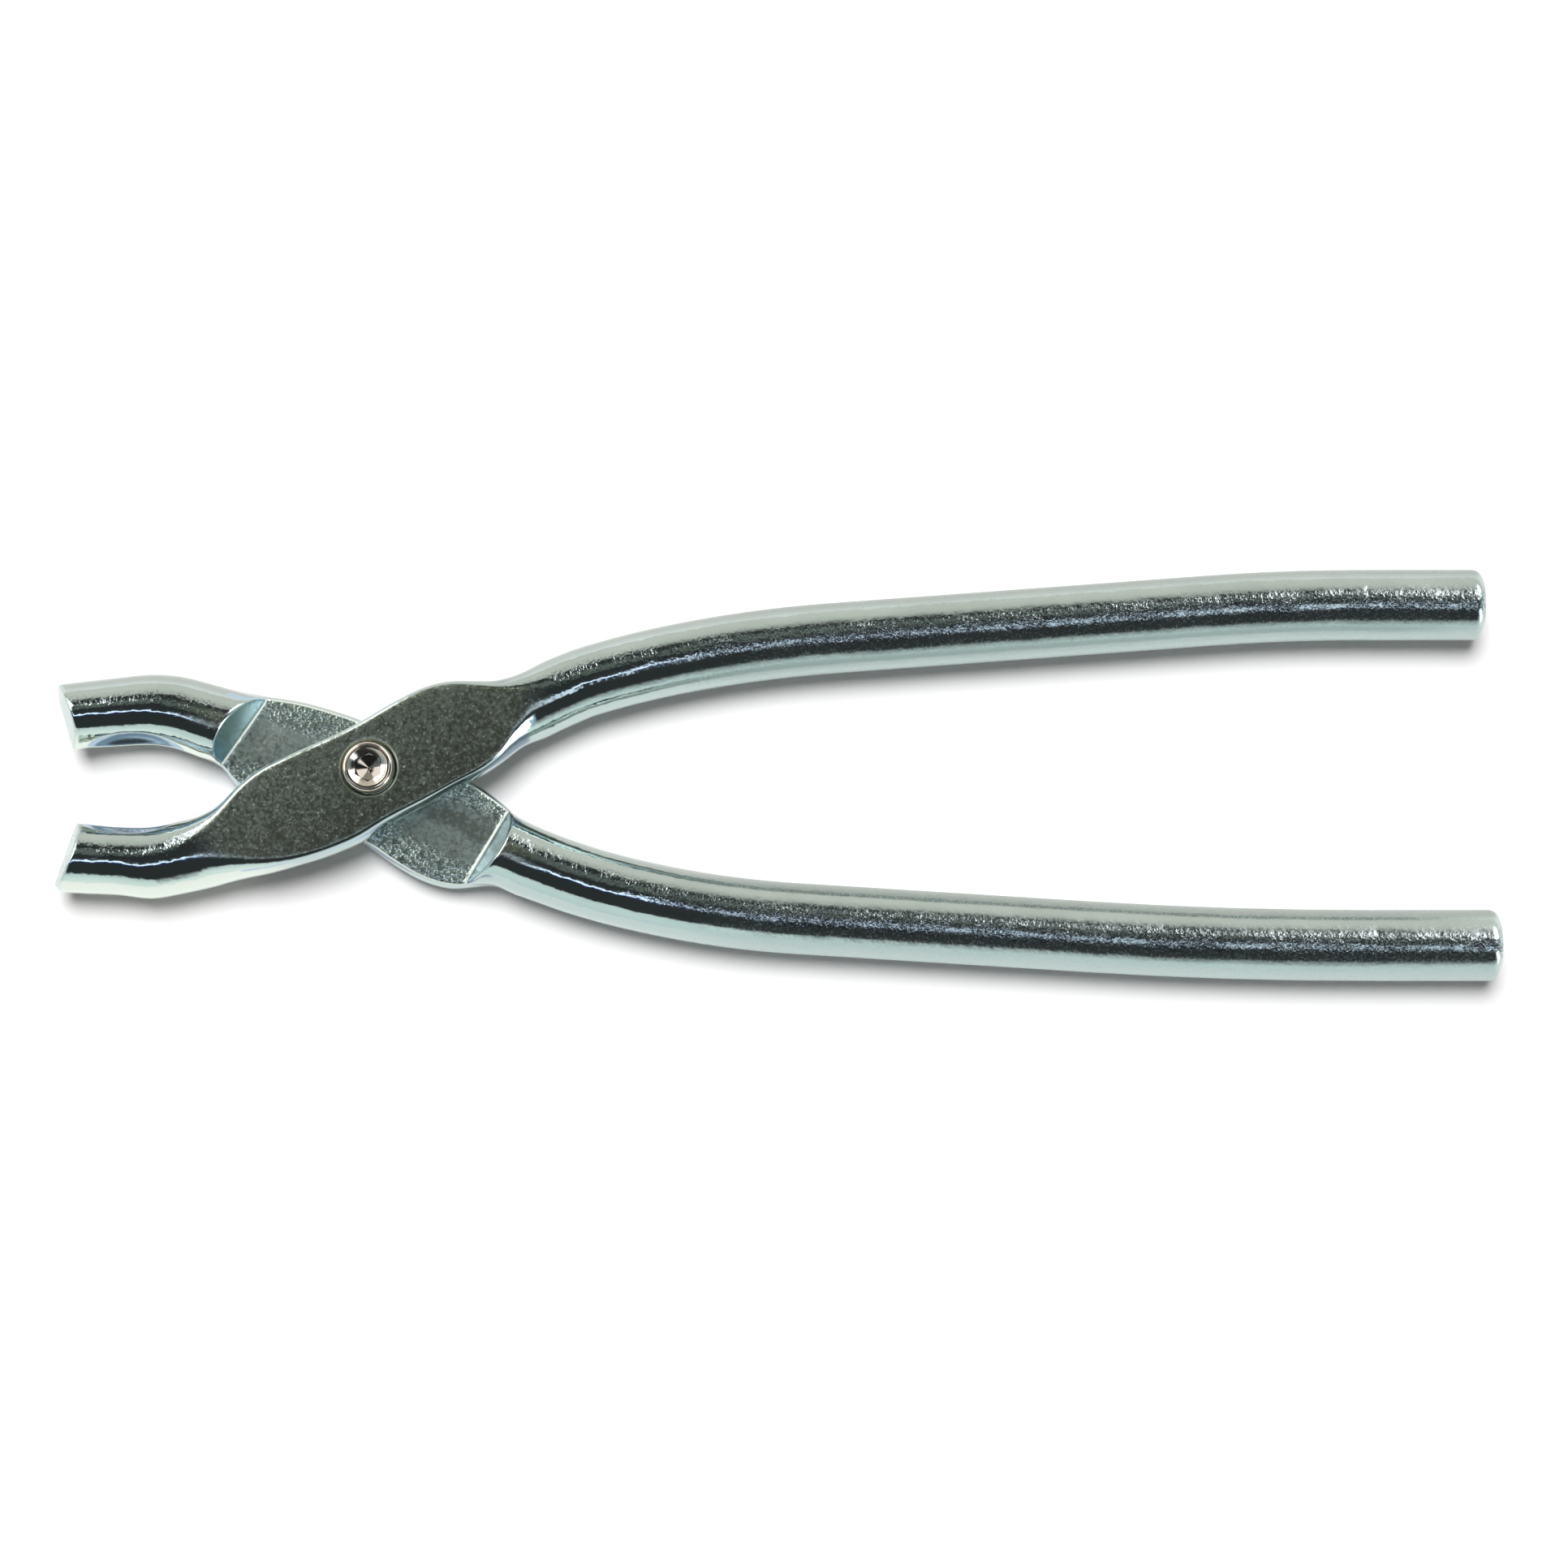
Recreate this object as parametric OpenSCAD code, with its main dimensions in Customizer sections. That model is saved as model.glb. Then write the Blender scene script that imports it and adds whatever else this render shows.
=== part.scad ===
// Hog ring pliers: two forged levers of round bar, lapped half and half over one cap screw.
// The origin is on the pivot axis, in the plane that the pliers lie on.
// +X points along the handles, +Y across them, +Z up to the head of the screw.

/* [Bar] */
// Diameter of the round bar that both levers are forged from
bar_d = 14; // [13.6:0.1:14.4]
// Rounding at the ends of the handles
handle_end_round = 2; // [1:0.25:3]

/* [Lap joint] */
// Running gap between the two lap faces
lap_gap = 0.1; // [0.05:0.05:0.2]
// Lean of the shoulders, in degrees from upright
shoulder_lean = 25; // [10:1:30]
// How far a lap face's edges are rounded in from the widest part of the forging
lap_edge = 1.0; // [0.4:0.1:1.4]

/* [Pivot screw] */
// Diameter of the screw's shank
screw_d = 6; // [5:0.5:6]
// Diameter of the screw's head
head_d = 10; // [8.5:0.25:10]
// Height of the screw's head
head_h = 4; // [3.5:0.25:4.5]
// Width across the flats of the hexagon socket
socket_af = 5; // [4:0.5:5]
// Depth of the hexagon socket
socket_depth = 2.2; // [1.8:0.1:2.4]
// Diameter of the counterbore for the head
counterbore_d = 10.7; // [10.5:0.1:12]
// Depth of the counterbore for the head
counterbore_depth = 1.5; // [1.2:0.1:2.2]
// Radial running clearance of the screw in the front lever
pivot_clearance = 0.05; // [0.02:0.01:0.1]

/* [Lock nut] */
// Width across the flats of the thin lock nut
nut_af = 10; // [9:0.5:10]
// Height of the lock nut
nut_h = 3.2; // [2.5:0.1:3.4]
// Diameter of the spot face that sinks the nut in the back of the rear lever
spot_face_d = 14; // [12.5:0.25:14.5]
// Depth of that spot face
spot_face_depth = 3.5; // [3.4:0.05:4]

/* [Jaws] */
// Lean of the bevels at the jaws' ends, in degrees from upright
jaw_end_lean = 21; // [10:1:30]
// Outer diameter of the ring that the jaws hold
ring_d = 28; // [24:0.5:30]
// Radius of the round cutter that sinks the ring grooves
groove_cutter_r = 3; // [2:0.25:3.5]
// Depth of the groove in each jaw
groove_depth = 3; // [2:0.1:3.6]
// Height of the grooves' middle above the lap plane
groove_rise = 2; // [1.5:0.1:3]

/* [Hidden] */

$fn = 96;
eps = 0.01;
bar_r = bar_d / 2;
lap_z = bar_r;
seat_z = bar_d - counterbore_depth;
// The head just clears its seat, and the shank ends flush with the back at z = 0
head_z = seat_z + 0.05;

// The forging of each lever, from the jaw's end to the start of the handle.
// A row is [x, y of the upper edge, x, y of the lower edge, inset of the flat at each of the two].
// An inset of about a bar's radius leaves no flat, so the bar is round there.
round_in = 6.85;
front_forging = [
    [-60.0, -10.0, -63.6, -23.8, 6.6, 6.6],
    [-55.0, -10.4, -56.5, -24.2, round_in, round_in],
    [-49.0, -10.7, -49.5, -24.5, round_in, round_in],
    [-44.0, -10.7, -43.1, -25.2, round_in, round_in],
    [-38.8, -9.9, -36.8, -24.2, 6.4, 7.0],
    [-34.4, -9.0, -31.3, -23.0, 4.4, 6.8],
    [-30.2, -7.1, -25.5, -21.7, 2.4, 5.2],
    [-26.4, -3.7, -19.2, -20.5, 1.3, 3.2],
    [-22.0, -0.1, -13.2, -18.8, 1.0, 1.9],
    [-15.5, 3.1, -7.6, -17.0, 0.9, 1.7],
    [-9.0, 6.0, -1.6, -14.4, 0.9, 1.7],
    [-2.7, 9.1, 4.0, -10.8, 0.9, 1.5],
    [3.5, 12.8, 11.0, -7.0, 0.9, 1.2],
    [9.5, 15.9, 17.0, -3.6, 0.9, 1.1],
    [14.8, 17.4, 22.0, -1.2, 1.0, 1.4],
    [20.0, 17.6, 26.0, 1.5, 1.5, 2.0],
    [24.3, 17.8, 30.0, 4.6, 2.4, 4.4],
    [28.7, 19.3, 34.0, 6.6, 4.2, round_in],
    [33.6, 21.9, 38.8, 8.9, 6.2, round_in],
    [39.29, 24.24, 43.51, 10.96, round_in, round_in],
];
rear_forging = [
    [-64.6, 17.0, -60.8, 3.6, 6.6, 6.6],
    [-57.5, 17.9, -56.5, 4.6, 6.4, 6.4],
    [-51.0, 18.6, -51.0, 5.0, 6.6, 6.6],
    [-44.0, 19.3, -44.5, 5.3, round_in, round_in],
    [-38.0, 18.9, -39.5, 4.7, round_in, round_in],
    [-32.0, 17.5, -34.6, 2.9, 6.4, 6.4],
    [-26.5, 16.4, -30.2, 0.9, 3.4, 3.6],
    [-21.0, 15.3, -27.0, -2.8, 1.8, 1.8],
    [-14.5, 14.3, -21.3, -6.2, 1.2, 1.2],
    [-8.0, 12.5, -15.0, -9.2, 1.2, 1.2],
    [-2.1, 10.4, -8.3, -11.8, 1.2, 1.2],
    [4.5, 6.8, -1.5, -14.6, 1.2, 1.2],
    [11.0, 3.3, 4.2, -18.4, 1.2, 1.2],
    [16.5, 0.1, 9.5, -21.4, 1.2, 1.3],
    [21.2, -2.8, 15.0, -23.0, 1.4, 1.8],
    [25.3, -5.8, 19.8, -22.9, 2.4, 3.0],
    [29.0, -8.8, 24.0, -22.8, 5.0, 5.0],
    [33.2, -11.1, 28.3, -24.4, round_in, round_in],
    [38.58, -13.25, 33.82, -26.35, round_in, round_in],
];

// The handles, as stretches of the same bar: [length along the bar, turn to the left in degrees]
front_handle = [[18, -6], [32, -7.4], [75, 0], [30, -4.2], [24, 0]];
rear_handle = [[12, 5.5], [36, 10.9], [58, 0], [55, 3.6], [25.2, 0]];

// The shoulders of the laps, each as a point on its root and its direction in degrees
front_jaw_shoulder = [[-24.6, -13.4], 124.6];
front_handle_shoulder = [[24.3, 10.6], 119];
rear_jaw_shoulder = [[-25.1, 8.4], 55.7];
rear_handle_shoulder = [[23.6, -13.3], 59.4];
shoulder_root_r = 0.7;

// The slanted cuts at the jaws' ends, each as a point on the cut and its direction in degrees
front_jaw_end = [[[-61.1, -18.3], 71.6], [[-61.8, -23.2], 130]];
rear_jaw_end = [[[-62.4, 15.4], 94], [[-60.85, 9.4], 108]];

// The middle of the ring groove on the inner side of each jaw
front_groove = [-47.5, -10.7];
rear_groove = [-47, 5.2];
groove_z = lap_z + groove_rise;

steps_per_row = 3;
// The handles' last stretch is a true cylinder, which the swept bar reaches into with a slightly thinner spigot
spigot_r = bar_r - 0.06;
spigot_start = 0.4;
spigot_end = 2.5;
cylinder_start = 0.8;

function catmull(p, q, r, s, t) =
    0.5 * (2 * q + (r - p) * t + (2 * p - 5 * q + 4 * r - s) * t * t + (3 * q - p - 3 * r + s) * t * t * t);

// The rows, with more of them worked out in between on a smooth curve
function smooth_rows(rows) = let (last = len(rows) - 1) [
    for (i = [0 : last - 1], k = [0 : steps_per_row - 1])
        catmull(rows[max(i - 1, 0)], rows[i], rows[i + 1], rows[min(i + 2, last)], k / steps_per_row),
    rows[last],
];

// How far a forged side lies in from its widest part, at a height above the lap plane
function forged_inset(inset, height) = let (half = bar_r / 2)
    height < half
        ? lap_edge * pow(1 - height / half, 2)
        : inset * (1 - sqrt(max(0, 1 - pow((height - half) / half, 2))));

// The same for any mix of round bar and forging
function side_inset(inset, angle) = let (forged = max(0, 1 - inset / round_in))
    (1 - forged) * inset * (1 - cos(angle)) + forged * forged_inset(inset, bar_r * sin(angle));

side_angles = [0, 12, 24, 36, 47, 57, 66, 74, 82, 90];
recess_angles = [for (a = [10 : 10 : 170]) a];

// One row's section as [place across, height above the lap plane], once round, the outer face first.
// A seventh value in a row is half its thickness, where that isn't the bar's own radius.
function section(row) =
    let (
        half_h = len(row) > 6 ? row[6] : bar_r,
        half_w = norm([row[0] - row[2], row[1] - row[3]]) / 2,
        upper_w = half_w - side_inset(row[4], 0),
        lower_w = half_w - side_inset(row[5], 0),
        upper_flat = half_w - row[4],
        lower_flat = half_w - row[5]
    )
    concat(
        [for (a = side_angles) [half_w - side_inset(row[4], a), half_h * sin(a)]],
        [for (t = [1 / 3, 2 / 3]) [upper_flat - (upper_flat + lower_flat) * t, half_h]],
        [for (i = [len(side_angles) - 1 : -1 : 0])
            [side_inset(row[5], side_angles[i]) - half_w, half_h * sin(side_angles[i])]],
        [for (a = recess_angles) [(a < 90 ? lower_w : upper_w) * -cos(a), -half_h * sin(a)]]
    );

// The section set up on its row, with the outer face up (side 1) or down (side -1)
function placed_section(row, side) =
    let (
        upper = [row[0], row[1]],
        lower = [row[2], row[3]],
        across = (upper - lower) / norm(upper - lower),
        middle = (upper + lower) / 2
    )
    [for (p = section(row)) concat(middle + across * p[0], lap_z + side * p[1])];

// Where a bar that starts at [x, y, heading] gets to over a length, when it is bent evenly through a turn
function bent_to(start, length, turn) =
    let (chord = turn == 0 ? length : 360 * length * sin(turn / 2) / (PI * turn))
    [start[0] + chord * cos(start[2] + turn / 2), start[1] + chord * sin(start[2] + turn / 2), start[2] + turn];

function stretch_start(start, stretches, i) =
    i == 0 ? start : bent_to(stretch_start(start, stretches, i - 1), stretches[i - 1][0], stretches[i - 1][1]);

// The middle and the heading of the forging's last row, where the handle starts
function handle_start(rows) = let (end = rows[len(rows) - 1])
    [(end[0] + end[2]) / 2, (end[1] + end[3]) / 2, atan2(end[1] - end[3], end[0] - end[2]) - 90];

function round_row(at, r) = [
    at[0] - r * sin(at[2]), at[1] + r * cos(at[2]), at[0] + r * sin(at[2]), at[1] - r * cos(at[2]),
    round_in * r / bar_r, round_in * r / bar_r, r,
];

// The rows of the bent handle, one to about every degree of turn
function handle_rows(start, stretches) = let (last = len(stretches) - 1) [
    for (i = [0 : last - 1])
        let (from = stretch_start(start, stretches, i), bend = stretches[i], steps = max(1, ceil(abs(bend[1]))))
        for (k = [1 : steps]) round_row(bent_to(from, bend[0] * k / steps, bend[1] * k / steps), bar_r),
    for (along = [spigot_start, spigot_end])
        round_row(bent_to(stretch_start(start, stretches, last), along, 0), spigot_r),
];

// A lever as it is forged and bent, with neither recess nor holes
module forged_lever(forging, handle, side) {
    start = handle_start(forging);
    end = stretch_start(start, handle, len(handle) - 1);
    swept(concat(smooth_rows(forging), handle_rows(start, handle)), side);
    translate([end[0], end[1], lap_z]) rotate([0, 90, end[2]]) translate([0, 0, cylinder_start])
        rounded_bar_end(handle[len(handle) - 1][0] - cylinder_start);
}

module swept(rows, side) {
    sections = [for (row = rows) placed_section(row, side)];
    n = len(sections[0]);
    last = len(sections) - 1;
    flip = side < 0;
    walls = [for (i = [0 : last - 1], j = [0 : n - 1], half = [0, 1])
        let (a = i * n + j, b = i * n + (j + 1) % n, c = b + n, d = a + n)
        half == 0 ? (flip ? [a, b, c] : [a, c, b]) : (flip ? [a, c, d] : [a, d, c])];
    ring = [for (j = [0 : n - 1]) j];
    first_cap = flip ? [for (j = ring) n - 1 - j] : ring;
    last_cap = [for (j = ring) last * n + (flip ? j : n - 1 - j)];
    polyhedron(points = [for (s = sections, p = s) p], faces = concat(walls, [first_cap, last_cap]));
}

module rounded_bar_end(length) {
    straight = length - handle_end_round;
    cylinder(h = straight, r = bar_r);
    translate([0, 0, straight]) {
        cylinder(h = handle_end_round, r = bar_r - handle_end_round);
        rotate_extrude() translate([bar_r - handle_end_round, 0]) intersection() {
            circle(handle_end_round);
            square(handle_end_round);
        }
    }
}

// Stands a profile up on a line and draws it out along it, towards the right of the line or the left
module along_line(line, to_right) {
    reach = 80;
    translate(concat(line[0], 0)) rotate(line[1] - 90) rotate([90, 0, 0]) mirror([to_right ? 0 : 1, 0, 0])
        translate([0, 0, -reach / 2]) linear_extrude(reach) children();
}

// One side of the lap's recess, from the root of a shoulder up: the wall leans back and has a small fillet
module beyond_shoulder(shoulder, to_right) {
    top = 2 * bar_d;
    root = [for (k = [0 : 4]) let (a = (90 - shoulder_lean) * k / 4)
        shoulder_root_r * [1 / tan(45 + shoulder_lean / 2) - sin(a), 1 - cos(a)]];
    along_line(shoulder, to_right)
        polygon(concat(root, [[-top * tan(shoulder_lean), top], [80, top], [80, 0]]));
}

// The half of the bar that the other lever's lap lies in, open upwards
module lap_recess(jaw_shoulder, handle_shoulder) {
    intersection() {
        beyond_shoulder(jaw_shoulder, true);
        beyond_shoulder(handle_shoulder, false);
    }
}

// What a slanted cut takes off a jaw's end, which leaves it bevelled above and below
module jaw_end_cut(cut) {
    nose = 1;
    slope = tan(jaw_end_lean);
    top = 1.5 * bar_r;
    translate([0, 0, lap_z]) along_line(cut, false) polygon([
        [-top * slope, -top], [-nose * slope, -nose], [-nose * slope / 4, -nose / 4],
        [-nose * slope / 4, nose / 4], [-nose * slope, nose], [-top * slope, top], [40, top], [40, -top],
    ]);
}

// The path of the ring-shaped cutter, whose middle lies towards the other jaw
module ring_cutter(groove, towards) {
    path_r = ring_d / 2;
    translate([groove[0], groove[1] + towards * (path_r - groove_depth), groove_z])
        rotate_extrude() translate([path_r - groove_cutter_r, 0]) circle(groove_cutter_r);
}

module front_lever() {
    color("#b9c2bd") difference() {
        forged_lever(front_forging, front_handle, 1);
        translate([0, 0, lap_z + lap_gap]) mirror([0, 0, 1])
            lap_recess(front_jaw_shoulder, front_handle_shoulder);
        cylinder(h = 3 * bar_d, r = screw_d / 2 + pivot_clearance, center = true);
        translate([0, 0, seat_z]) cylinder(h = bar_d, r = counterbore_d / 2);
        for (cut = front_jaw_end) jaw_end_cut(cut);
        ring_cutter(front_groove, 1);
    }
}

module rear_lever() {
    color("#a9b4b2") difference() {
        forged_lever(rear_forging, rear_handle, -1);
        translate([0, 0, lap_z]) lap_recess(rear_jaw_shoulder, rear_handle_shoulder);
        cylinder(h = 3 * bar_d, r = screw_d / 2, center = true);
        translate([0, 0, spot_face_depth - bar_d]) cylinder(h = bar_d, r = spot_face_d / 2);
        for (cut = rear_jaw_end) jaw_end_cut(cut);
        ring_cutter(rear_groove, -1);
    }
}

module pivot_screw() {
    edge = 0.7;
    socket_z = head_z + head_h - socket_depth;
    color("#cfc9bd") difference() {
        union() {
            cylinder(h = head_z + eps, r = screw_d / 2);
            translate([0, 0, head_z]) cylinder(h = head_h - edge, r = head_d / 2);
            translate([0, 0, head_z + head_h - edge]) {
                cylinder(h = edge, r = head_d / 2 - edge);
                rotate_extrude() translate([head_d / 2 - edge, 0]) intersection() {
                    circle(edge);
                    square(edge);
                }
            }
        }
        translate([0, 0, socket_z]) rotate(30) cylinder(h = head_h, r = socket_af / sqrt(3), $fn = 6);
        translate([0, 0, socket_z - socket_af / 4]) cylinder(h = socket_af / 4 + eps, r1 = 0.2, r2 = socket_af / 2);
    }
}

module lock_nut() {
    across_corners = nut_af * 2 / sqrt(3);
    chamfer = (across_corners - nut_af) / 2 * tan(30);
    color("#c3c8c4") translate([0, 0, spot_face_depth - nut_h]) difference() {
        intersection() {
            cylinder(h = nut_h, r = across_corners / 2, $fn = 6);
            union() {
                cylinder(h = chamfer, r1 = nut_af / 2, r2 = across_corners / 2);
                translate([0, 0, chamfer]) cylinder(h = nut_h - chamfer, r = across_corners / 2 + eps);
            }
        }
        translate([0, 0, -eps]) cylinder(h = nut_h + 2 * eps, r = screw_d / 2);
    }
}

front_lever();
rear_lever();
pivot_screw();
lock_nut();
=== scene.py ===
import math

import bmesh
import bpy
import numpy as np
import openvdb
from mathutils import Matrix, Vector


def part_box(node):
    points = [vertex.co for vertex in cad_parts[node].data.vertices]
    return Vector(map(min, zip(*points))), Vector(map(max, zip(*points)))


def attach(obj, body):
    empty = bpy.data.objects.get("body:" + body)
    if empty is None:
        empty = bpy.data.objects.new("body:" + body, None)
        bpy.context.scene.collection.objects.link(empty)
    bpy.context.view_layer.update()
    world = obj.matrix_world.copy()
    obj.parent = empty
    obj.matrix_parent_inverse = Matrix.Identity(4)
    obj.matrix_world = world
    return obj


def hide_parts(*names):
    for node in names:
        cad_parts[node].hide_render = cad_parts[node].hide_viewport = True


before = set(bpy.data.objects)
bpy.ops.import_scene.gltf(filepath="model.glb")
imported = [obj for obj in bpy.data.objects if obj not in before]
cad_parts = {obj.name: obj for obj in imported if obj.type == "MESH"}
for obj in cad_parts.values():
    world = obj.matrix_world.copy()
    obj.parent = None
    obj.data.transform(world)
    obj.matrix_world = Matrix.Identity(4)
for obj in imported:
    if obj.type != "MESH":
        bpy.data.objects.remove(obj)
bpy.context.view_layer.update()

MM = 0.001
DEGREE = math.pi / 180
BAR_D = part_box("rear_lever")[1].z / MM
BAR_R = BAR_D / 2


# Shader maths


class Shade:
    """A value or colour in a node tree. Sums and products of these add their Math nodes."""

    def __init__(self, tree, socket):
        self.tree = tree
        self.socket = socket

    def math(self, operation, *others, clamp=False):
        node = self.tree.nodes.new("ShaderNodeMath")
        node.operation = operation
        node.use_clamp = clamp
        for place, value in zip(node.inputs, (self, *others)):
            plug(self.tree, place, value)
        return Shade(self.tree, node.outputs[0])

    def __add__(self, other):
        return self.math("ADD", other)

    def __sub__(self, other):
        return self.math("SUBTRACT", other)

    def __rsub__(self, other):
        return self.math("MULTIPLY_ADD", -1.0, other)

    def __mul__(self, other):
        return self.math("MULTIPLY", other)

    def __truediv__(self, other):
        return self.math("DIVIDE", other)

    def __pow__(self, other):
        return self.math("POWER", other)

    def __abs__(self):
        return self.math("ABSOLUTE")

    __radd__ = __add__
    __rmul__ = __mul__

    def least(self, other):
        return self.math("MINIMUM", other)

    def most(self, other):
        return self.math("MAXIMUM", other)

    def rise(self, low, high):
        """0 below low and 1 above high, with a smooth step between them."""
        return make(self.tree, "ShaderNodeMapRange", {"interpolation_type": "SMOOTHSTEP"},
                    {"Value": self, "From Min": low, "From Max": high})

    def within(self, low, high, soft):
        """1 between low and high, fading out over soft at each side."""
        return self.rise(low - soft, low) * (1 - self.rise(high, high + soft))


def plug(tree, place, value):
    if isinstance(value, Shade):
        tree.links.new(value.socket, place)
    else:
        place.default_value = value


def make(tree, kind, settings=None, values=None, out=0):
    """Adds any node, with its settings first and then the values or links of its sockets."""
    node = tree.nodes.new(kind)
    for name, value in (settings or {}).items():
        setattr(node, name, value)
    for name, value in (values or {}).items():
        plug(tree, node.inputs[name], value)
    return Shade(tree, node.outputs[out])


class Paint:
    """The node tree of a material or of the world."""

    def __init__(self, owner, output):
        owner.use_nodes = True
        self.tree = owner.node_tree
        self.tree.nodes.clear()
        self.output = self.tree.nodes.new(output)

    def node(self, kind, settings=None, values=None, out=0):
        return make(self.tree, kind, settings, values, out)

    def split(self, vector):
        node = self.tree.nodes.new("ShaderNodeSeparateXYZ")
        plug(self.tree, node.inputs[0], vector)
        return [Shade(self.tree, node.outputs[i]) for i in range(3)]

    def noise(self, place, size, detail=2.0, roughness=0.5):
        """Noise with lumps of about a size in millimetres."""
        return self.node("ShaderNodeTexNoise", {}, {
            "Vector": place, "Scale": 1 / (size * MM), "Detail": detail, "Roughness": roughness})

    def dimples(self, place, size):
        """Rounded hollows side by side, each about a size in millimetres across: 0 at the bottom, 1 at the rims."""
        return self.node("ShaderNodeTexVoronoi", {}, {"Vector": place, "Scale": 1 / (size * MM)}).rise(0.0, 0.85)

    def mix(self, amount, first, second):
        return self.node("ShaderNodeMix", {"data_type": "RGBA"}, {
            0: amount, 6: opaque(first), 7: opaque(second)}, out=2)

    def moved(self, place, by):
        return self.node("ShaderNodeVectorMath", {"operation": "ADD"}, {0: place, 1: by})

    def stretched(self, place, by):
        return self.node("ShaderNodeVectorMath", {"operation": "MULTIPLY"}, {0: place, 1: by})

    def bump(self, height_mm):
        return self.node("ShaderNodeBump", {}, {"Height": height_mm, "Distance": MM, "Strength": 1.0})

    def finish(self, shader):
        self.tree.links.new(shader.socket, self.output.inputs["Surface"])


def opaque(colour):
    return (*colour, 1.0) if isinstance(colour, tuple) and len(colour) == 3 else colour


def dimmed(colour, by):
    return tuple(part * by for part in colour)


# Finishes


# The flat's olive tone, darkened as painted shade; also the painted shade on half the counterbore rim
FLAT_TONE_AND_SHADE = (0.27, 0.30, 0.225)
FLAT_PALE = (0.54, 0.61, 0.49)
# Painted pale sheen, for the jaws' near side, the counterbore wall and the shoulder root line
PAINTED_PALE_SHEEN = (0.76, 0.84, 0.76)
# Painted shade, for the near side of the handles and for the far side of the bars
HANDLE_NEAR_SHADE = (0.50, 0.61, 0.59)
FAR_SIDE_SHADE = (0.43, 0.48, 0.44)
FLOOR_DARK = (0.38, 0.45, 0.37)
FLOOR_PALE = (0.76, 0.92, 0.79)
# Painted blue-grey reflection for the shoulder walls and the ring groove
SHOULDER_BLUE_REFLECTION = (0.46, 0.60, 0.72)
GROOVE_PATH_R = 11.0
GROOVE_CUTTER_R = 3.0
GROOVE_HEIGHT = BAR_R + 2.0


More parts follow.
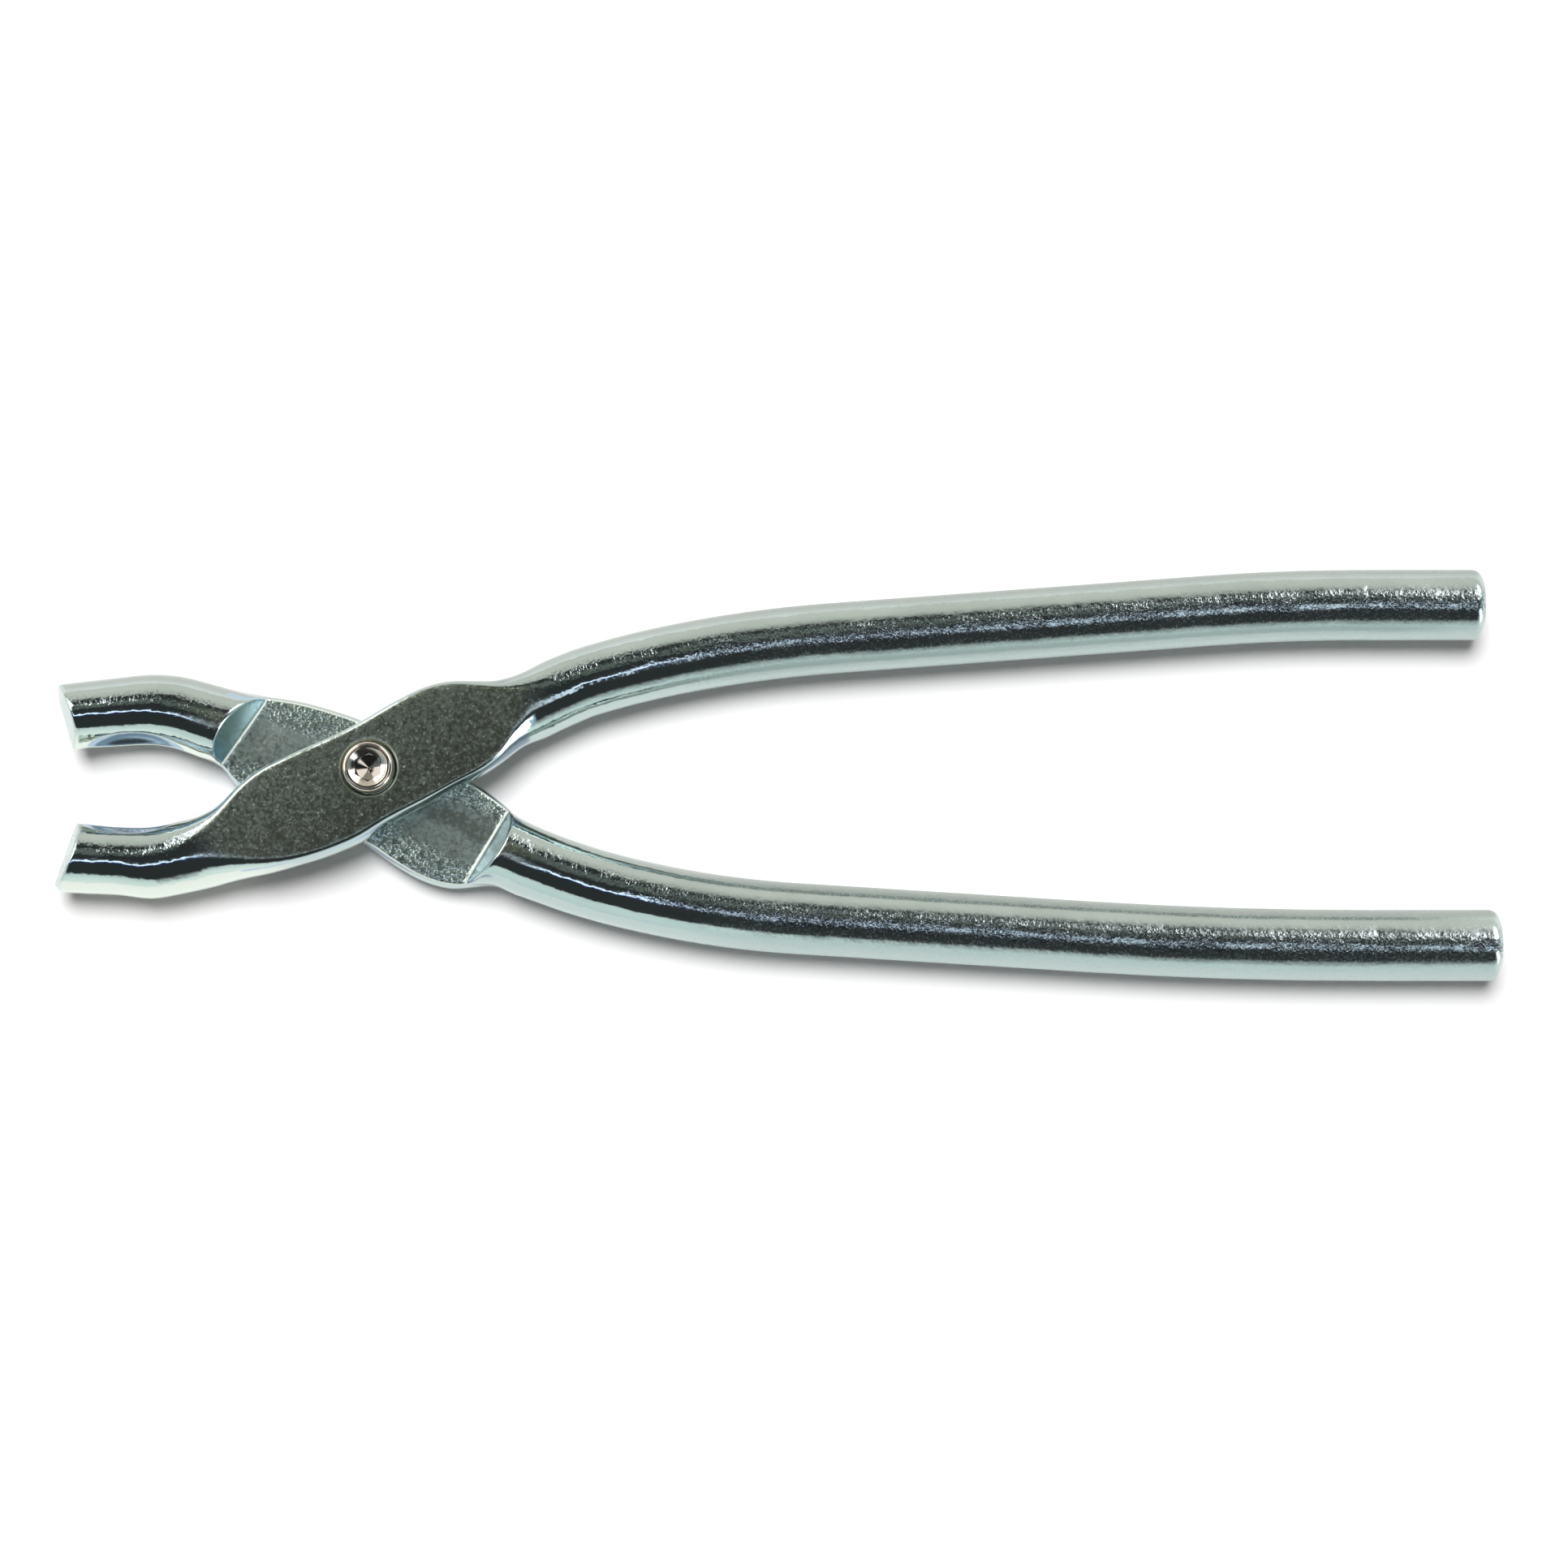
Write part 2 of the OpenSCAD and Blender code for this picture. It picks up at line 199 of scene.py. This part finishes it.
def forged_plating(name, tint, seed, groove_middle, lap_line, haze):
    """Bright plating over forged steel: orange peel on the round parts, a ground flat and a rough lap recess. The
    colour also holds painted reflections, highlights and shade: a pale near side on the jaws, darker near sides on
    the handles and darker far sides, a darkened flat, blue-grey shoulder walls and groove, a pale counterbore wall
    and shoulder root line, a dark half rim round the counterbore and dark specks along the crest.
    """
    material = bpy.data.materials.new(name)
    paint = Paint(material, "ShaderNodeOutputMaterial")
    place = paint.node("ShaderNodeTexCoord", out=3)
    x, y, z = paint.split(place)
    across, upright = paint.split(paint.node("ShaderNodeTexCoord", out=1))[1:]
    upright = abs(upright)
    own_place = paint.moved(place, (seed, seed, seed))

    from_pivot = (x * x + y * y).math("SQRT") / MM
    handle = (x / MM).rise(42.0, 80.0)
    height = abs(z / MM - BAR_R)
    near_pivot = 1 - from_pivot.rise(30.0, 42.0)
    flat = upright.rise(0.95, 0.985) * height.rise(BAR_R - 0.9, BAR_R - 0.5) * near_pivot
    lap_floor = upright.rise(0.9, 0.97) * (1 - height.rise(0.3, 0.6))
    shoulder = upright.within(0.25, 0.62, 0.08) * height.within(0.5, 6.2, 0.3) * (1 - from_pivot.rise(31.0, 32.5))
    shoulder = shoulder * (1 - abs(across).rise(0.78, 0.84))
    # Painted highlight: a pale, barely metallic line along the root of the shoulder wall
    root_highlight = upright.within(0.66, 0.9, 0.06) * height.within(0.02, 0.45, 0.15) * (1 - from_pivot.rise(31.0, 32.5))
    along = x / MM - groove_middle[0]
    aside = y / MM - groove_middle[1]
    from_ring = (along * along + aside * aside).math("SQRT") - GROOVE_PATH_R
    above_ring = z / MM - GROOVE_HEIGHT
    groove = 1 - (from_ring * from_ring + above_ring * above_ring).rise(GROOVE_CUTTER_R ** 2, (GROOVE_CUTTER_R + 0.2) ** 2)
    # Painted shade: the counterbore's rim is painted dark on its upper half, towards +Y and -X; it is also rougher
    shaded_bore_rim = (1 - flat) * from_pivot.within(5.0, 6.2, 0.3) * height.rise(4.0, 5.0)
    shaded_bore_rim = shaded_bore_rim * ((y - x) / MM).rise(-3.5, 0.5)
    # Painted light: the counterbore's wall, in shade in the gap round the screw head, is painted pale; it is also
    # rougher
    bore_wall = (1 - from_pivot.rise(5.42, 5.46)) * (1 - upright.rise(0.5, 0.8)) * height.rise(3.0, 4.0)
    round_part = (1 - flat) * (1 - lap_floor) * (1 - shoulder)
    # Painted reflection and shade: the near (-Y) side is painted paler on the jaws and darker on the handles, and the
    # far (+Y) side darker
    near_side = round_part * (1 - across.rise(-0.8, -0.5))
    far_side = round_part * across.rise(0.6, 0.85)
    near_side_sheen_and_shade = paint.mix((x / MM).rise(-24.0, -10.0), PAINTED_PALE_SHEEN, HANDLE_NEAR_SHADE)
    patches = paint.noise(own_place, 14.0, detail=3.0)
    slope, middle = lap_line
    from_middle = (y / MM - x / MM * slope - middle) / math.hypot(1.0, slope)
    floor_edge = abs(from_middle + (patches - 0.5) * 5.0).rise(3.0, 7.0)
    right_side = (x / MM).rise(-4.0, 4.0)
    floor_band = (from_middle + (patches - 0.5) * 7.0).within(0.4, 2.0, 1.4) * right_side
    floor_rim = from_middle.rise(1.5, 4.5) * (1 - right_side)

    density = paint.noise(own_place, 4.0, detail=2.0).rise(0.35, 0.65)
    peel = paint.noise(own_place, 1.6, detail=1.5, roughness=0.5)
    waves = paint.noise(own_place, 9.0, detail=1.0)
    grain = paint.noise(own_place, 0.3, detail=1.0, roughness=0.6)
    lumps = paint.noise(own_place, 0.9, detail=1.5)
    nicks = paint.noise(own_place, 0.5, detail=1.0).rise(0.6, 0.8)
    dimples = paint.dimples(own_place, 0.75)
    floor_dimples = paint.dimples(own_place, 0.7)
    fine_dimples = paint.dimples(own_place, 0.34)

    specks = paint.noise(own_place, 0.45, detail=1.5).rise(0.45, 0.65)
    # Painted shade: dark specks in the base colour along the crest, which break up the strip lamp's reflection there
    crest_dark_specks = paint.noise(own_place, 0.5, detail=1.5).rise(0.46, 0.6)
    low_side = handle * -0.3 - 0.1
    high_side = 0.3 - handle * 0.16
    crest = round_part * across.rise(low_side, low_side + 0.24) * (1 - across.rise(high_side, high_side + 0.24))
    crest = crest * (density * 0.7 + 0.3)
    crest = crest * from_pivot.rise(26.0, 34.0) * (handle * 0.7 + 1.0)
    relief = peel * (round_part * 0.035 + 0.012) + waves * 0.22 + grain * (flat * 0.014 + 0.001) + lumps * flat * 0.03
    relief = relief + floor_dimples * lap_floor * (floor_edge * 0.042 + right_side * floor_edge * 0.018 + 0.014) + dimples * crest * 0.03
    relief = relief + fine_dimples * (lap_floor * 0.012 + crest * 0.016 + flat * 0.006)
    relief = relief - nicks * (flat * 0.02 + crest * 0.02 + 0.002)
    rough = 0.07 + handle * (specks * 0.12 + haze) + flat * 0.18 + lap_floor * (0.22 - floor_edge * 0.06) + shoulder * 0.15 + shaded_bore_rim * 0.2 + bore_wall * 0.35 + groove * 0.2 + (patches - 0.5) * 0.06 + handle * (near_side + far_side) * 0.22
    plating = paint.mix(patches.rise(0.35, 0.65), dimmed(tint, 0.92), tint)
    # Painted shade on the far side and on the upper half of the counterbore rim; painted sheen and shade on the near
    # side
    plating = paint.mix(far_side, paint.mix(shaded_bore_rim, plating, FLAT_TONE_AND_SHADE), FAR_SIDE_SHADE)
    plating = paint.mix(near_side, plating, near_side_sheen_and_shade)
    # Painted light on the counterbore wall, and painted dark specks along the crest
    plating = paint.mix(bore_wall, paint.mix(crest * crest_dark_specks * 0.8, plating, dimmed(tint, 0.35)), PAINTED_PALE_SHEEN)
    # The flat's own olive mottles, partly real tone and partly painted shade that darkens it; from_middle paints it
    # paler towards the +Y side of the lap line, a painted reflection
    mottles = lumps * 0.45 + paint.noise(own_place, 0.6, detail=1.5) * 0.35 + paint.noise(own_place, 2.4) * 0.2
    ground = paint.mix((mottles + from_middle * 0.008).rise(0.36, 0.64), FLAT_TONE_AND_SHADE, FLAT_PALE)
    plating = paint.mix(lap_floor, plating, paint.mix((mottles - floor_band * 0.14 + floor_rim * 0.12).rise(0.3, 0.62), FLOOR_DARK, FLOOR_PALE))
    # Painted reflection: the shoulder walls and the ring groove are painted blue-grey, half as bright on the right (x
    # > 4 mm) as painted shade
    painted_wall_reflection = paint.mix(right_side, SHOULDER_BLUE_REFLECTION, dimmed(SHOULDER_BLUE_REFLECTION, 0.5))
    # Painted highlight along the shoulder root
    plating = paint.mix(root_highlight, plating, PAINTED_PALE_SHEEN)
    paint.finish(paint.node("ShaderNodeBsdfPrincipled", {}, {
        "Base Color": paint.mix(shoulder.most(groove), paint.mix(flat, plating, ground), painted_wall_reflection),
        "Metallic": 1 - root_highlight * 0.8,
        "Roughness": rough,
        "Normal": paint.bump(relief),
    }))
    return material


def turned_steel(name, tint, roughness):
    """Nickel-plated steel with the fine rings that turning leaves, and painted shade inside the screw's hexagon
    socket.
    """
    material = bpy.data.materials.new(name)
    paint = Paint(material, "ShaderNodeOutputMaterial")
    place = paint.node("ShaderNodeTexCoord", out=3)
    x, y, z = paint.split(place)
    from_axis = (x * x + y * y).math("SQRT") / MM
    side = from_axis.rise(4.88, 4.94)
    # Painted shade: the inside of the hexagon socket is painted at 0.45 of the tint
    socket = (1 - from_axis.rise(2.8, 2.9)) * (1 - (z / MM).rise(HEAD_TOP - 1.1, HEAD_TOP - 0.9))
    grain = paint.noise(place, 0.4, detail=3.0)
    rings = ((from_axis + z / MM) * 28.0 + grain * 3.0).math("SINE") * from_axis.rise(2.9, 3.1)
    patches = paint.noise(place, 3.0, detail=2.0)
    paint.finish(paint.node("ShaderNodeBsdfPrincipled", {}, {
        "Base Color": paint.mix(socket, paint.mix(patches.rise(0.3, 0.7), dimmed(tint, 0.85), tint), dimmed(tint, 0.45)),
        "Metallic": 1.0,
        "Roughness": (grain - 0.5) * 0.12 + roughness + side * 0.35,
        "Normal": paint.bump(rings * 0.0008 + grain * 0.008),
    }))
    return material


# Levers


def forged_skin(node, bores):
    """The node's solid as one even mesh whose edges are rounded over, as forging and plating leave them."""
    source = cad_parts[node].data
    source.calc_loop_triangles()
    corners = np.empty(len(source.vertices) * 3, np.float32)
    source.vertices.foreach_get("co", corners)
    triangles = np.empty(len(source.loop_triangles) * 3, np.int32)
    source.loop_triangles.foreach_get("vertices", triangles)
    steps = openvdb.createLinearTransform(voxelSize=SKIN_STEP)
    solid = openvdb.FloatGrid.createLevelSetFromPolygons(
        corners.reshape(-1, 3) / MM, triangles=triangles.reshape(-1, 3), transform=steps, halfWidth=SKIN_BAND)
    first, last = solid.evalActiveVoxelBoundingBox()
    depth = np.empty([last[k] - first[k] + 1 for k in range(3)], np.float32)
    solid.copyToArray(depth, ijk=first)
    for bore in bores:
        depth = bored(depth, first, *bore)
    for axis in range(3):
        depth = blurred(depth, axis)
    rounded = openvdb.FloatGrid(SKIN_BAND * SKIN_STEP)
    rounded.transform = steps
    rounded.copyFromArray(depth, ijk=first)
    points, triangles, quads = rounded.convertToPolygons(isovalue=SKIN_SINK, adaptivity=SKIN_EASE)
    slopes = np.stack(np.gradient(depth, SKIN_STEP), axis=-1)
    for _ in range(2):
        places = points / SKIN_STEP - np.array(first)
        slope = between_steps(slopes, places)
        miss = between_steps(depth[..., None], places) - SKIN_SINK
        points = points - miss * slope / np.sum(slope * slope, axis=1, keepdims=True)
    mesh = bpy.data.meshes.new(node + "_forging")
    mesh.from_pydata((points * MM).tolist(), [], triangles.tolist() + quads.tolist())
    mesh.shade_smooth()
    slope = between_steps(slopes, points / SKIN_STEP - np.array(first))
    slope = slope / np.linalg.norm(slope, axis=1, keepdims=True)
    mesh.normals_split_custom_set_from_vertices(slope.tolist())
    return mesh


def between_steps(grid, places):
    """The grid's values at places between its steps, mixed from the eight corners round each place."""
    low = np.floor(places).astype(int)
    share = places - low
    result = 0.0
    for corner in np.ndindex(2, 2, 2):
        weight = np.prod(np.where(corner, share, 1 - share), axis=1, keepdims=True)
        at = np.clip(low + corner, 0, np.array(grid.shape[:3]) - 1)
        result = result + weight * grid[at[:, 0], at[:, 1], at[:, 2]]
    return result


def bored(depth, first, radius, low, high):
    """The distances with a turned hole on the pivot axis, which a solid of flat facets holds less exactly."""
    x, y, z = [(np.arange(depth.shape[k], dtype=np.float32) + first[k]) * SKIN_STEP for k in range(3)]
    from_side = radius - np.hypot(x[:, None], y[None, :])
    from_end = np.minimum(z - low, high - z)
    return np.maximum(depth, np.minimum(from_side[:, :, None], from_end[None, None, :]))


def blurred(depth, axis):
    """A bell-shaped blur along one axis."""
    weights = [math.exp(-0.5 * (k / EDGE_BLUR) ** 2) for k in range(-BLUR_REACH, BLUR_REACH + 1)]
    total = sum(weights)
    spread = [(BLUR_REACH, BLUR_REACH) if k == axis else (0, 0) for k in range(3)]
    padded = np.pad(depth, spread, mode="edge")
    result = np.zeros_like(depth)
    for k, weight in enumerate(weights):
        cut = [slice(None)] * 3
        cut[axis] = slice(k, k + depth.shape[axis])
        result += padded[tuple(cut)] * np.float32(weight / total)
    return result


def lever(name, node, body, material, bores):
    mesh = forged_skin(node, bores)
    mesh.materials.append(material)
    piece = bpy.data.objects.new(name, mesh)
    bpy.context.scene.collection.objects.link(piece)
    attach(piece, body)
    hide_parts(node)
    return piece


# Step and half width of the skin's grid, in millimetres and in steps
SKIN_STEP = 0.22
SKIN_BAND = 6
# How much coarser the mesh may be where the skin is even
SKIN_EASE = 0.004
# How far the edges are blurred, in steps, and how far the skin is sunk in millimetres, to stay inside the solid
EDGE_BLUR = 1.25
BLUR_REACH = 4
SKIN_SINK = -0.005

COUNTERBORE_R = 5.37
COUNTERBORE_SEAT = BAR_D - 1.5
SPOT_FACE_R = 7.02
SPOT_FACE_DEPTH = 3.5
LEVER_TINT = (0.60, 0.71, 0.68)
lever("front_forging", "front_lever", "front_half",
      forged_plating("front lever plating", LEVER_TINT, 0.0, (-47.5, 0.3), (0.474, -1.3), 0.05),
      [(COUNTERBORE_R, COUNTERBORE_SEAT, 2 * BAR_D)])
lever("rear_forging", "rear_lever", "rear_half",
      forged_plating("rear lever plating", LEVER_TINT, 0.7, (-47.0, -5.8), (-0.45, -4.1), 0.07),
      [(SPOT_FACE_R, -BAR_D, SPOT_FACE_DEPTH)])


# Screw and nut

AROUND = 240
FULL_TURN = 2 * math.pi


def hexagon(angle, across_flats, turn=0.0):
    """How far a hexagon's edge is from its middle."""
    within = (angle - turn) % (math.pi / 3) - math.pi / 6
    return across_flats / 2 / math.cos(within)


def ring(build, height, radius):
    """A loop of corners. Its height and radius are numbers, or functions of the angle."""
    loop = []
    for k in range(AROUND):
        angle = FULL_TURN * k / AROUND
        r = radius(angle) if callable(radius) else radius
        z = height(angle) if callable(height) else height
        loop.append(build.verts.new(Vector((r * math.cos(angle), r * math.sin(angle), z)) * MM))
    return loop


def stacked_rings(name, rings, closed, material, node):
    """A skin through rings of (height, radius) that lie one after another. It ends in caps, or closes on itself."""
    build = bmesh.new()
    loops = [ring(build, height, radius) for height, radius in rings]
    pairs = list(zip(loops, loops[1:] + loops[:1])) if closed else list(zip(loops, loops[1:]))
    for first, second in pairs:
        for k in range(AROUND):
            after = (k + 1) % AROUND
            build.faces.new((first[k], first[after], second[after], second[k]))
    if not closed:
        build.faces.new(list(reversed(loops[0])))
        build.faces.new(loops[-1])
    for face in build.faces:
        face.smooth = True
    bmesh.ops.recalc_face_normals(build, faces=build.faces)
    mesh = bpy.data.meshes.new(name)
    build.to_mesh(mesh)
    build.free()
    mesh.set_sharp_from_angle(angle=35 * DEGREE)
    mesh.materials.append(material)
    piece = bpy.data.objects.new(name, mesh)
    bpy.context.scene.collection.objects.link(piece)
    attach(piece, "rear_half")
    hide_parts(node)
    return piece


def arc(middle_z, middle_r, radius, start, end, steps):
    """Rings round a turned edge, whose slope goes from start to end, in degrees from the axis."""
    slopes = [(start + (end - start) * i / steps) * DEGREE for i in range(steps + 1)]
    return [(middle_z + radius * math.cos(slope), middle_r + radius * math.sin(slope)) for slope in slopes]


def thread(height, pitch=1.0, crest=3.0, root=2.55):
    """The radius round an M6 thread at a height."""
    def radius(angle):
        along = (height / pitch - angle / FULL_TURN) % 1.0
        return crest - (crest - root) * min(1.0, max(0.0, 1.15 - 2.3 * abs(along - 0.5)))
    return radius


HEAD_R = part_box("pivot_screw")[1].x / MM
HEAD_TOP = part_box("pivot_screw")[1].z / MM
HEAD_SEAT = HEAD_TOP - 4.0
SHANK_R = 2.97
SOCKET_AF = 5.0
SOCKET_TURN = 30 * DEGREE
SOCKET_FLOOR = HEAD_TOP - 2.2
RIM_R = 4.86
RIM_TOP_R = 4.3
SINK_R = 3.78
SINK_END_R = 2.95
SINK_SLOPE = 33 * DEGREE
POINT_SLOPE = math.tan(25 * DEGREE)
RIM_ROUND = 0.6


def socket_flats(angle):
    return hexagon(angle, SOCKET_AF, SOCKET_TURN)


def sink_depth(radius):
    """How deep the countersink round the socket is at a radius. It gets flatter towards the middle."""
    inward = SINK_R - radius
    return inward * math.tan(SINK_SLOPE) - 0.12 * inward ** 2


def socket_screw(material):
    """The cap screw: an M6 thread, a low head with a turned rim and groove, and a countersunk hexagon socket."""
    thread_steps = round((BAR_R - 0.5) / 0.1)
    side = HEAD_R - 0.02
    rings = [(0.0, 2.3)]
    rings += [(0.35 + 0.1 * i, thread(0.1 * i)) for i in range(thread_steps)]
    rings += [(BAR_R + 0.1, SHANK_R), (HEAD_SEAT, SHANK_R)]
    rings += [(HEAD_SEAT, side - 0.28), (HEAD_SEAT + 0.25, side - 0.04), (HEAD_SEAT + 0.9, side)]
    rings += [(HEAD_TOP - 1.2, side), (HEAD_TOP - 0.9, side - 0.03), (HEAD_TOP - 0.55, RIM_R)]
    rings += arc(HEAD_TOP - RIM_ROUND, RIM_TOP_R, RIM_ROUND, 62, 0, 8)
    rings += [(HEAD_TOP - 0.02, RIM_TOP_R - 0.06), (HEAD_TOP - 0.16, RIM_TOP_R - 0.16)]
    rings += [(HEAD_TOP - 0.16, SINK_R + 0.12), (HEAD_TOP - 0.02, SINK_R + 0.05)]
    sink_rings = [SINK_R + (SINK_END_R - SINK_R) * i / 6 for i in range(7)]
    rings += [(HEAD_TOP - 0.04 - sink_depth(radius), radius) for radius in sink_rings]
    rings += [(lambda angle: HEAD_TOP - 0.04 - sink_depth(socket_flats(angle)), socket_flats)]
    rings += [(lambda angle: HEAD_TOP - 0.14 - sink_depth(socket_flats(angle)), socket_flats)]
    point = [(SOCKET_FLOOR - 0.02 - (2.42 - radius) * POINT_SLOPE, radius) for radius in (2.42, 2.36, 1.4, 0.3, 0.24)]
    rings += [(SOCKET_FLOOR, socket_flats)] + point
    return stacked_rings("hex_socket_screw", rings, False, material, "pivot_screw")


def thin_nut(material):
    """The lock nut: its corners are turned off by a cone at both faces, and its bore is countersunk."""
    low, high = [corner.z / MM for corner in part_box("lock_nut")]
    across_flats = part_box("lock_nut")[1].y / MM * 2
    face_r = across_flats / 2 - 0.15
    bore, sink, sink_depth = 3.02, 3.35, 0.35
    steps = [0.0, 0.1, 0.2, 0.3, 0.4, 0.6, 1.0]
    heights = [low + step for step in steps] + [high - step for step in reversed(steps)]

    def side(height):
        def radius(angle):
            cone = face_r + min(height - low, high - height) / math.tan(30 * DEGREE)
            return min(hexagon(angle, across_flats, math.pi / 6), cone)
        return radius

    rings = [(low, sink)] + [(height, side(height)) for height in heights]
    rings += [(high, sink), (high - sink_depth, bore), (low + sink_depth, bore)]
    return stacked_rings("thin_lock_nut", rings, True, material, "lock_nut")


socket_screw(turned_steel("nickel of the screw", (0.74, 0.69, 0.58), 0.1))
thin_nut(turned_steel("zinc of the nut", (0.6, 0.61, 0.6), 0.25))


# Camera

AIM = Vector((81.07, -2.44, 7.0)) * MM
CAMERA_DISTANCE = 700.0 * MM
CAMERA_TILT = 6.0 * DEGREE
VIEW_WIDTH = 309.12 * MM

camera_data = bpy.data.cameras.new("camera")
camera_data.lens = camera_data.sensor_width * CAMERA_DISTANCE / VIEW_WIDTH
camera_data.clip_start = 0.01
camera_data.clip_end = 50.0
camera = bpy.data.objects.new("camera", camera_data)
camera.rotation_euler = (CAMERA_TILT, 0.0, 0.0)
camera.location = AIM + CAMERA_DISTANCE * Vector((0.0, -math.sin(CAMERA_TILT), math.cos(CAMERA_TILT)))
bpy.context.scene.collection.objects.link(camera)
bpy.context.scene.camera = camera


# Floor


def white_floor(reach=3.0, drop=0.2):
    """A plain white floor that keeps the pliers' shadow."""
    mesh = bpy.data.meshes.new("floor")
    corners = [(-reach, -reach, 0), (reach, -reach, 0), (reach, reach, 0), (-reach, reach, 0)]
    mesh.from_pydata(corners, [], [(0, 1, 2, 3)])
    material = bpy.data.materials.new("white paper")
    paint = Paint(material, "ShaderNodeOutputMaterial")
    paint.finish(paint.node("ShaderNodeBsdfDiffuse", {}, {"Color": (0.95, 0.95, 0.95, 1.0)}))
    mesh.materials.append(material)
    floor = bpy.data.objects.new("floor", mesh)
    floor.location.z = -drop * MM
    bpy.context.scene.collection.objects.link(floor)


white_floor()


# Studio light

CEILING = (0.036, 0.038, 0.040)
FAR_WALL = (0.78, 0.75, 0.70)
NEAR_WALL = (0.86, 0.95, 0.95)
SIDE_WALL = (0.40, 0.50, 0.58)
FAR_PANEL = (0.15, 0.17, 0.155)
STRIP_LAMP = (1.4, 1.55, 1.95)
STRIP_SHADE = (0.02, 0.03, 0.14)
WINDOW = (2.4, 2.3, 2.4)
BLUE_WINDOW = (0.45, 0.60, 0.76)
SILL_LAMP = (1.0, 1.1, 1.3)
FLOOR_FILL = (0.155, 0.138, 0.141)
WHITE = (1.0, 1.0, 1.0)


def studio():
    """The room that the plating mirrors: dark overhead with a few lamps, over pale walls. The floor sees an even fill."""
    world = bpy.data.worlds.new("studio")
    bpy.context.scene.world = world
    paint = Paint(world, "ShaderNodeOutputWorld")
    east, north, up = paint.split(paint.node("ShaderNodeTexCoord"))
    from_zenith = up.math("ARCCOSINE") / DEGREE
    level_reach = (east * east + north * north + 1e-6).math("SQRT")
    far_side = (north / level_reach).rise(0.2, 0.9)
    near_side = (north / level_reach * -1.0).rise(0.2, 0.9)

    to_handles = east.rise(-0.12, 0.05)
    wall_top = 50.0 - far_side * 2.0 + near_side * (to_handles * 11.0 + 7.0)
    wall_blur = near_side * (to_handles * 10.0 - 3.0) + 7.0
    wall = ((from_zenith - wall_top) / wall_blur).rise(-1.0, 1.0)
    wall_colour = paint.mix(far_side, paint.mix(near_side, SIDE_WALL, NEAR_WALL), FAR_WALL)
    wall_colour = paint.mix(from_zenith.rise(60.0, 88.0), wall_colour, paint.mix(far_side, NEAR_WALL, FAR_WALL))
    wall_shade = from_zenith.rise(40.0, 75.0) * 0.25 + 0.75
    wall_colour = paint.stretched(wall_colour, paint.node("ShaderNodeCombineXYZ", {}, {0: wall_shade, 1: wall_shade, 2: wall_shade}))
    room = paint.mix(wall, CEILING, wall_colour)

    to_far_side = north.math("ARCTAN2", up) / DEGREE
    lengthways = 1 - abs(east).rise(0.45, 0.62)
    panel_end = 1 - east.rise(0.05, 0.2) * 0.6
    room = paint.mix(to_far_side.within(16.0, 26.0, 8.0) * lengthways * panel_end, room, FAR_PANEL)
    strip_end = 1 - east.rise(0.02, 0.1) * 0.85
    room = paint.mix(to_far_side.within(-14.5, -11.5, 1.0) * lengthways * strip_end, room, STRIP_SHADE)
    room = paint.mix(to_far_side.within(-10.4, -7.2, 1.0) * lengthways * strip_end, room, STRIP_LAMP)
    bearing = north.math("ARCTAN2", east) / DEGREE
    window_height = from_zenith.within(32.0, 64.0, 6.0)
    windows = bearing.within(24.0, 66.0, 8.0) + bearing.within(124.0, 176.0, 8.0)
    room = paint.mix(windows * window_height, room, WINDOW)
    room = paint.mix(bearing.within(-46.0, -22.0, 8.0) * from_zenith.within(40.0, 60.0, 8.0), room, BLUE_WINDOW)
    room = paint.mix(bearing.within(-42.0, -26.0, 4.0) * from_zenith.within(38.0, 86.0, 3.0), room, WINDOW)
    room = paint.mix(bearing.within(-68.0, -22.0, 8.0) * from_zenith.within(11.0, 19.0, 3.0), room, SILL_LAMP)

    path = paint.tree.nodes.new("ShaderNodeLightPath")
    is_camera, is_glossy = [Shade(paint.tree, path.outputs[ray]) for ray in ("Is Camera Ray", "Is Glossy Ray")]
    seen = paint.mix(is_glossy, paint.mix(is_camera, FLOOR_FILL, WHITE), room)
    paint.finish(paint.node("ShaderNodeBackground", {}, {"Color": seen, "Strength": 1.0}))


def key_lamp(strength=3.15, tilt=17.0, turn=4.0, size=30.0):
    """A large soft lamp overhead, a little beyond the pliers, so that the shadow falls towards the camera."""
    lamp = bpy.data.lights.new("key", "SUN")
    lamp.energy = strength
    lamp.angle = size * DEGREE
    key = bpy.data.objects.new("key", lamp)
    key.rotation_euler = (-tilt * DEGREE, -turn * DEGREE, 0.0)
    key.visible_glossy = False
    bpy.context.scene.collection.objects.link(key)


studio()
key_lamp()
bpy.context.scene.view_settings.view_transform = "Standard"
